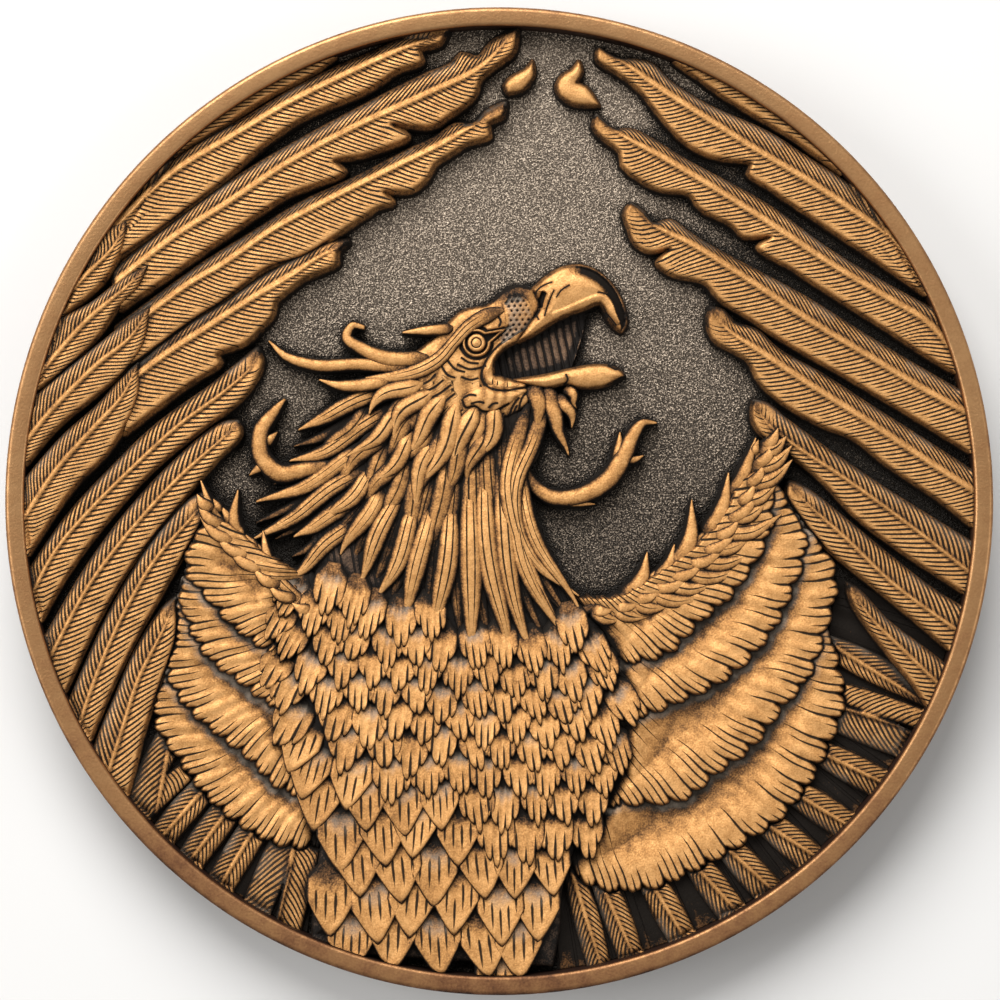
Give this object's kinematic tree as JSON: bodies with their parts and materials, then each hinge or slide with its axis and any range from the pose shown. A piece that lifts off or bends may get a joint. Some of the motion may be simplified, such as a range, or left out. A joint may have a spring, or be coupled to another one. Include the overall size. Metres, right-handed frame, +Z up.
{
  "type": "challenge coin",
  "caption": "Round two inch relief coin with raised rims, a rising phoenix between two raised wings on the obverse and a feather ring on the reverse.",
  "frame": {"origin": "centre of the lower face, which is the flat top of the reverse rim", "axes": "+Z up, out of the picture side; +Y towards the top of the picture; +X to the right of the picture"},
  "size_m": [0.0508, 0.0508, 0.004],
  "materials": {
    "copper_relief": "antique copper, bright on the high parts with dark recesses",
    "dark_relief": "antique copper, dark in the low relief",
    "sandblasted_field": "sandblasted, dark antique patina",
    "brushed_rim": "antique copper, lightly brushed",
    "reverse_relief": "antique copper, satin"
  },
  "bodies": {
    "root": {"planchet": "sandblasted_field", "obverse_rim": "brushed_rim", "reverse_rim": "reverse_relief", "reverse_boss": "reverse_relief", "reverse_feather_ring": "reverse_relief", "left_primary_1": "copper_relief", "left_primary_2": "copper_relief", "left_primary_3": "copper_relief", "left_primary_4": "copper_relief", "left_primary_5": "copper_relief", "left_primary_6": "copper_relief", "left_primary_7": "copper_relief", "left_primary_8": "copper_relief", "left_primary_9": "copper_relief", "left_covert_1": "copper_relief", "left_covert_2": "copper_relief", "left_covert_3": "copper_relief", "left_covert_4": "copper_relief", "right_primary_1": "copper_relief", "right_primary_2": "copper_relief", "right_primary_3": "copper_relief", "right_primary_4": "copper_relief", "right_primary_5": "copper_relief", "right_primary_6": "copper_relief", "right_primary_7": "copper_relief", "right_primary_8": "copper_relief", "left_flame_drop": "copper_relief", "right_flame_drop": "copper_relief", "left_covert_row_1": "copper_relief", "left_covert_row_2": "copper_relief", "left_covert_row_3": "copper_relief", "left_covert_row_4": "copper_relief", "right_covert_row_1": "copper_relief", "right_covert_row_2": "copper_relief", "right_covert_row_3": "copper_relief", "right_covert_row_4": "copper_relief", "left_secondaries": "dark_relief", "right_secondaries": "dark_relief", "left_wing_arm": "copper_relief", "right_wing_arm": "copper_relief", "torso": "dark_relief", "chest_scales": "copper_relief", "belly_scales": "copper_relief", "neck": "dark_relief", "nape_hackles": "copper_relief", "cheek_hackles": "copper_relief", "chest_hackles": "copper_relief", "throat_flames": "copper_relief", "left_curl_flame": "copper_relief", "right_curl_flame": "copper_relief", "head": "copper_relief", "upper_beak": "copper_relief", "lower_beak": "copper_relief", "mouth": "sandblasted_field", "brow": "copper_relief", "eye": "copper_relief", "crest_plume_1": "copper_relief", "crest_plume_2": "copper_relief", "crest_plume_3": "copper_relief", "crest_plume_4": "copper_relief"}
  },
  "joints": []
}
